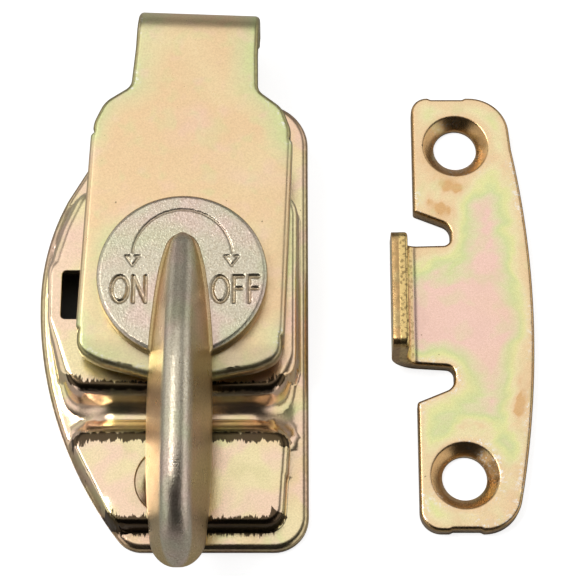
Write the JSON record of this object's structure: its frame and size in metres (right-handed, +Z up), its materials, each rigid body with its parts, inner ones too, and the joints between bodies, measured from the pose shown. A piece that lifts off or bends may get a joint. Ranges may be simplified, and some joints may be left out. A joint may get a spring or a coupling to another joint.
{
  "type": "table leaf lock",
  "caption": "Table-leaf lock: a turning lever with an eccentric draws a sliding hook plate over the tab of a separate strike plate.",
  "frame": {"origin": "the lever's pivot axis where it meets the mounting surface", "axes": "+Z up from the mounting surface, +Y from the pivot to the hook, +X towards the strike plate"},
  "size_m": [0.061, 0.0729, 0.021],
  "materials": {
    "housing_steel": "yellow zinc-chromate plate, glossy",
    "hook_steel": "yellow zinc-chromate plate, satin",
    "strike_steel": "yellow zinc-chromate plate, iridescent",
    "cast_lever": "die-cast, thin yellow zinc-chromate plate",
    "bare_steel": "plain zinc plate",
    "bush_brass": "machined"
  },
  "bodies": {
    "housing": {"base_plate": "housing_steel", "guide_rivets": "bare_steel", "bearing_bush": "bush_brass", "strike_plate": "strike_steel"},
    "lever": {"lever": "cast_lever", "cam_disc": "bare_steel", "pivot_post": "bare_steel", "spring_washer": "bare_steel", "stop_plate": "bare_steel", "end_washer": "bare_steel"},
    "guide": {"guide_block": "bare_steel"},
    "hook": {"hook_plate": "hook_steel"}
  },
  "joints": [
    {"name": "lever_turn", "type": "hinge", "parent": "housing", "child": "lever", "pos_m": [0, 0, 0], "axis": [0, 0, 1], "range_deg": [-90, 90]},
    {"name": "hook_swing", "type": "hinge", "parent": "housing", "child": "guide", "pos_m": [0, 0, 0], "axis": [0, 0, 1], "range_deg": [0, 4.4]},
    {"name": "hook_slide", "type": "slide", "parent": "guide", "child": "hook", "axis": [0.0384, 0.9993, 0], "range_m": [-0.00296, 0.00296]}
  ],
  "couplings": [
    {"joint": "hook_slide", "follows": "lever_turn", "m_per_rad": -0.001884}
  ]
}
